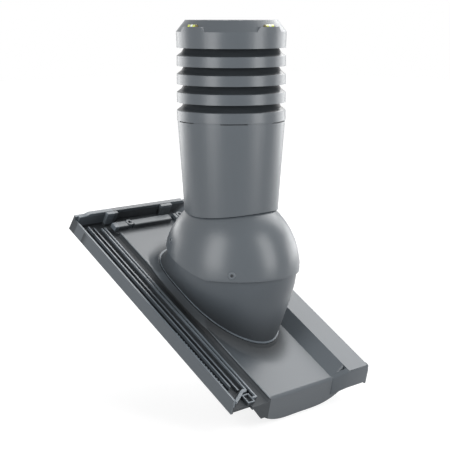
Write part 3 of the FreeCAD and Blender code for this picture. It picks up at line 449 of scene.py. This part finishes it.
def slope_block(name, across, along, height):
    """A block in the slope's own directions, each from and to in millimetres."""
    spans = (across, along, height)
    centre = [(low + high) / 2000 for low, high in spans]
    size = [(high - low) / 1000 for low, high in spans]
    bpy.ops.object.select_all(action="DESELECT")
    bpy.ops.mesh.primitive_cube_add(size=1, location=centre, scale=size)
    bpy.ops.object.transform_apply(location=True, rotation=True, scale=True)
    piece = bpy.context.object
    piece.name = name
    return piece


def pick_face(piece, direction):
    """Leave the active piece in edit mode with its outermost face picked."""
    bpy.ops.object.mode_set(mode="EDIT")
    bpy.ops.mesh.select_mode(type="FACE")
    bpy.ops.mesh.select_all(action="DESELECT")
    bpy.ops.object.mode_set(mode="OBJECT")
    face = max(piece.data.polygons, key=lambda f: f.center.dot(Vector(direction)))
    face.select = True
    bpy.ops.object.mode_set(mode="EDIT")


def pull(*move):
    """Extrude what is picked by a move in millimetres: across, along, height."""
    bpy.ops.mesh.extrude_region_move(TRANSFORM_OT_translate={"value": [m / 1000 for m in move]})


def moulded_on_tile(piece, edge):
    """Break the edges, tip the piece to the roof's pitch and let it ride on the tile."""
    bpy.ops.object.mode_set(mode="OBJECT")
    break_edges(piece, edge, segments=3)
    piece.rotation_euler = (roof_pitch, 0, 0)
    bpy.ops.object.transform_apply(location=True, rotation=True, scale=True)
    smooth_skin(piece, crease=35)
    piece.data.materials.append(tile_plastic)
    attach(piece, "tile")
    bpy.ops.object.select_all(action="DESELECT")


rail = slope_block("head_rail", across=(-110, 82), along=(204.2, 211.6), height=(head_floor, -46))
pick_face(rail, (-1, 0, 0))
pull(-6, 0, -3)
pull(-13, 0, -1)
pick_face(rail, (1, 0, 0))
pull(5, 0, -4)
moulded_on_tile(rail, edge=0.0007)

for name, span in (("rail_gusset_left", (-79, -58)), ("rail_gusset_right", (32, 55))):
    gusset = slope_block(name, across=span, along=(202, 205), height=(head_floor, -46.6))
    pick_face(gusset, (0, -1, 0))
    pull(0, -3.5, -0.4)
    moulded_on_tile(gusset, edge=0.0006)

for name, span in (
        ("nail_bar_left", (-72.5, -46)), ("nail_bar_middle", (-34, 44)), ("nail_bar_right", (54, 60))):
    bar = slope_block(name, across=span, along=(179.5, 190.8), height=(-66.4, -58.5))
    pick_face(bar, (0, -1, 0))
    pull(0, -1.5, -1.2)
    moulded_on_tile(bar, edge=0.0007)

boss_radius, boss_height, boss_wall = 0.0068, 0.009, 0.0042
boss_along, boss_middle = 0.186, -0.0622
for name, across in (("nail_boss_left", -0.040), ("nail_boss_right", 0.066)):
    bpy.ops.object.select_all(action="DESELECT")
    bpy.ops.mesh.primitive_cylinder_add(
        vertices=40, radius=boss_radius, depth=boss_height, end_fill_type="NOTHING",
        location=(across, boss_along, boss_middle))
    bpy.ops.object.transform_apply(location=True, rotation=True, scale=True)
    boss = bpy.context.object
    boss.name = name
    wall = boss.modifiers.new("wall", "SOLIDIFY")
    wall.thickness = boss_wall
    wall.use_even_offset = True
    bpy.ops.object.modifier_apply(modifier="wall")
    moulded_on_tile(boss, edge=0.0008)

link = slope_block(
    "guide_wall_link", across=(-93.6, -90.8), along=(-181, -167.5), height=(channel_floor, guide_top))
pick_face(link, (0, -1, 0))
pull(-2.5, -2.5, 0)
moulded_on_tile(link, edge=0.0006)
guide = slope_block("guide_wall", across=(-99, -93), along=(-184, -178), height=(channel_floor, guide_top))
pick_face(guide, (-1, 0, 0))
pull(-24, -13.5, -0.8)
pull(-7, -1, -4.6)
moulded_on_tile(guide, edge=0.0009)

nose_lean = 0.0088
nose_middle = -0.06
nose = slope_block("roll_nose", across=(87.4, 133.5), along=(-214.75, -206), height=(-79, -50.1))
bpy.ops.object.mode_set(mode="EDIT")
bpy.ops.mesh.select_mode(type="VERT")
bpy.ops.mesh.select_all(action="DESELECT")
bpy.ops.object.mode_set(mode="OBJECT")
for corner in nose.data.vertices:
    corner.select = corner.co.z < nose_middle
bpy.ops.object.mode_set(mode="EDIT")
bpy.ops.transform.translate(value=(0, -nose_lean, 0))
pick_face(nose, (-1, 0, 0))
pull(-21.4, 7.6, -16)
moulded_on_tile(nose, edge=0.003)

bead = slope_block("pan_edge_bead", across=(-66, -62.2), along=(-204, 174), height=(-68.5, -65.2))
pick_face(bead, (0, -1, 0))
pull(0.8, -3.5, -2)
moulded_on_tile(bead, edge=0.0011)

pocket_wall = 0.0019
pocket = slope_block("clip_pocket", across=(-105.5, -92.6), along=(-203, -187), height=(channel_floor, -65))
pick_face(pocket, (0, 0, 1))
bpy.ops.mesh.inset(thickness=pocket_wall, depth=0)
pull(0, 0, -4.6)
moulded_on_tile(pocket, edge=0.0005)
seat = slope_block("clip_seat", across=(-131.6, -128.2), along=(-189, -181), height=(channel_floor, -60))
pick_face(seat, (0, -1, 0))
pull(-0.2, -3.5, -6)
moulded_on_tile(seat, edge=0.0006)


# The ball base: a thin moulded shell on the tile's raised collar, screwed from
# beneath onto a flat rubber ring. It has painted shade, darker towards its foot,
# and a painted highlight along its lower edge.
base_plastic = moulded_plastic("base_anthracite", (0.078, 0.09, 0.102), gloss=0.3, shine=0.3)
base_painted_shade = bpy.data.node_groups.new("base_painted_shade", "ShaderNodeTree")
base_painted_shade.interface.new_socket("Shade", in_out="OUTPUT", socket_type="NodeSocketFloat")
# Painted shade, darker towards the foot, and a painted highlight along the lower edge.
base_foot, shade_fade_top = -0.05, 0.012
rim_level = (-0.0514, -0.0508)
foot_painted_shade, rim_highlight_level = 0.4, 1.9
height = slope_frame(base_painted_shade)[1][2]
fade = ramp_of(base_painted_shade, height, base_foot, shade_fade_top, foot_painted_shade, 1.0, smooth=True)
# A painted highlight along the base's lower edge.
painted_rim_highlight = ramp_of(base_painted_shade, height, *rim_level, rim_highlight_level, 0.0, smooth=True)
outside = base_painted_shade.nodes.new("NodeGroupOutput")
base_painted_shade.links.new(reckoned(base_painted_shade, "MAXIMUM", fade, painted_rim_highlight), outside.inputs["Shade"])
paint_shade_over(base_plastic, base_painted_shade)
finished("ball_base", "tile", base_plastic, edge=0.0004)


# The rubber rings: a flat one squeezed under the base, and a lip ring in the neck
# that holds the inner pipe. Both are matt black.
def dress(node, material):
    """One material all over a node."""
    mesh = nodes[node].data
    mesh.materials.clear()
    mesh.materials.append(material)


seal_black = moulded_plastic("seal_rubber", (0.018, 0.018, 0.02), gloss=0.6, bump=0.2)
dress("base_seal", seal_black)
dress("neck_seal", seal_black)


# The base screws: six zinc plated steel screws that pull the base down onto its
# rubber ring from the underside of the tile.
zinc = moulded_plastic("zinc_plate", (0.5, 0.5, 0.52), gloss=0.3)
zinc.node_tree.nodes["Principled BSDF"].inputs["Metallic"].default_value = 1.0
dress("base_screws", zinc)


# The hood: the turning half of the ball with its plumb neck, clamped to the base by
# four set screws in flanged nuts that are let into its wall.
hood_plastic = moulded_plastic("hood_anthracite", anthracite, gloss=0.28)
finished("hood", "stack", hood_plastic, edge=0.0004)
nut_plastic = moulded_plastic("nut_anthracite", (0.12, 0.138, 0.154), gloss=0.26)
screw_plastic = moulded_plastic("screw_anthracite", (0.035, 0.04, 0.046), gloss=0.35)
for side in ("front_left", "front_right", "back_left", "back_right"):
    dress("lock_screw_" + side, screw_plastic)
    dress("clamp_nut_" + side, nut_plastic)


# The stack: inner pipe, tapered cowl, louvre rings and cap, pushed together and
# welded. Outside it is satin, and the flares in the gaps get painted shade.
band_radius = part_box("louvre_ring_middle")[1].x
band_skin = 0.0004
gap_painted_shade = 0.3


def gap_mask(edge):
    """1 outside a radius round the plumb axis, and falling to 0 within it."""
    mask_fade = 0.0008
    group = bpy.data.node_groups.new("gap_mask", "ShaderNodeTree")
    group.interface.new_socket("Outside", in_out="OUTPUT", socket_type="NodeSocketFloat")
    place = group.nodes.new("ShaderNodeTexCoord")
    level = group.nodes.new("ShaderNodeVectorMath")
    level.operation = "MULTIPLY"
    level.inputs[1].default_value = (1, 1, 0)
    length = group.nodes.new("ShaderNodeVectorMath")
    length.operation = "LENGTH"
    group.links.new(place.outputs["Object"], level.inputs[0])
    group.links.new(level.outputs[0], length.inputs[0])
    mask = ramp_of(group, length.outputs["Value"], edge - mask_fade, edge, 0.0, 1.0)
    outside = group.nodes.new("NodeGroupOutput")
    group.links.new(mask, outside.inputs["Outside"])
    return group


dress("duct_pipe", moulded_plastic("pipe_dark", (0.03, 0.034, 0.038), gloss=0.5))
stack_plastic = moulded_plastic("stack_anthracite", anthracite, gloss=0.28)
finished("cowl_shell", "stack", stack_plastic, edge=0.0004)
finished("cap", "stack", stack_plastic, edge=0.0005)

ring_plastic = moulded_plastic("ring_anthracite", anthracite, gloss=0.28)
ring_tree = ring_plastic.node_tree
# The flares inside the band radius get painted shade.
mask = ring_tree.nodes.new("ShaderNodeGroup")
mask.node_tree = gap_mask(band_radius - band_skin)
shade = ramp_of(ring_tree, mask.outputs["Outside"], 0.0, 1.0, gap_painted_shade, 1.0)
ring_tree.links.new(shade, ring_tree.nodes["grain"].inputs["Shade"])
for node in ("collar_ring", "louvre_ring_lower", "louvre_ring_middle", "louvre_ring_upper"):
    finished(node, "stack", ring_plastic, edge=0.0005)


# The spirit vials: sealed clear tubes of yellow-green fluid with a bubble, one on
# each side of the cap, for setting the stack plumb.
vial_low, vial_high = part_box("vial_left")
vial_middle = (vial_low + vial_high) / 2
vial_radius, vial_length, vial_round = 0.00305, 0.0178, 0.0011
cap_start, line_end, line_start = 0.0072, 0.0029, 0.0023
bubble_radius = 0.0019
bubble_level = vial_middle.z + 0.0017
pale_from = vial_middle.z - 0.0011
vial_crease = math.radians(35)
vial_fluid = moulded_plastic("vial_fluid", (0.62, 0.7, 0.05), gloss=0.05, bump=0.0, tint=0.3)
vial_fluid.node_tree.nodes["Principled BSDF"].inputs["Coat Weight"].default_value = 1.0
vial_cap = moulded_plastic("vial_cap", (0.2, 0.16, 0.03), gloss=0.25, bump=0.05)
vial_line = moulded_plastic("vial_line", (0.02, 0.02, 0.02), gloss=0.4, bump=0.0)
bubble_white = moulded_plastic("bubble_white", (0.86, 0.9, 0.8), gloss=0.05, bump=0.0, tint=0.1)


def vial_tube(name):
    """A tube along Y with end caps, two lines, and the fluid's pale top in its middle."""
    bpy.ops.mesh.primitive_cylinder_add(
        vertices=40, radius=vial_radius, depth=vial_length, location=vial_middle,
        rotation=(math.pi / 2, 0, 0))
    bpy.ops.object.transform_apply(location=True, rotation=True, scale=True)
    tube = bpy.context.object
    tube.name = name
    break_edges(tube, vial_round, segments=4)
    bpy.ops.object.mode_set(mode="EDIT")
    for along in (-cap_start, -line_end, -line_start, line_start, line_end, cap_start):
        bpy.ops.mesh.select_all(action="SELECT")
        bpy.ops.mesh.bisect(plane_co=(0, along, 0), plane_no=(0, 1, 0))
    bpy.ops.object.mode_set(mode="OBJECT")
    for material in (vial_fluid, vial_cap, vial_line, bubble_white):
        tube.data.materials.append(material)
    for face in tube.data.polygons:
        along = abs(face.center.y)
        if along > cap_start:
            face.material_index = 1
        elif along > line_start:
            face.material_index = 2 if along < line_end else 0
        else:
            face.material_index = 3 if face.center.z > pale_from else 0
    return tube


def vial_bubble(name):
    """The upper half of a flattened ball, at the top of the tube."""
    bpy.ops.mesh.primitive_uv_sphere_add(
        segments=28, ring_count=14, radius=bubble_radius, location=(vial_middle.x, 0, bubble_level))
    bubble = bpy.context.object
    bubble.name = name
    bubble.scale = (0.85, 1.0, 0.75)
    bpy.ops.object.transform_apply(location=True, rotation=True, scale=True)
    bpy.ops.object.mode_set(mode="EDIT")
    bpy.ops.mesh.select_all(action="SELECT")
    bpy.ops.mesh.bisect(
        plane_co=(0, 0, bubble_level), plane_no=(0, 0, 1), use_fill=True, clear_inner=True)
    bpy.ops.object.mode_set(mode="OBJECT")
    bubble.data.materials.append(bubble_white)
    return bubble


def spirit_vial(node, turn):
    """A tube and its bubble, turned to their own seat round the plumb axis."""
    bpy.ops.object.select_all(action="DESELECT")
    tube = vial_tube(node + "_tube")
    bubble = vial_bubble(node + "_bubble")
    for piece in (tube, bubble):
        take(piece)
        piece.rotation_euler = (0, 0, turn)
        bpy.ops.object.transform_apply(location=True, rotation=True, scale=True)
        bpy.ops.object.shade_smooth_by_angle(angle=vial_crease)
        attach(piece, "stack")
    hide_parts(node)
    bpy.ops.object.select_all(action="DESELECT")


spirit_vial("vial_left", 0)
spirit_vial("vial_front", math.pi / 2)
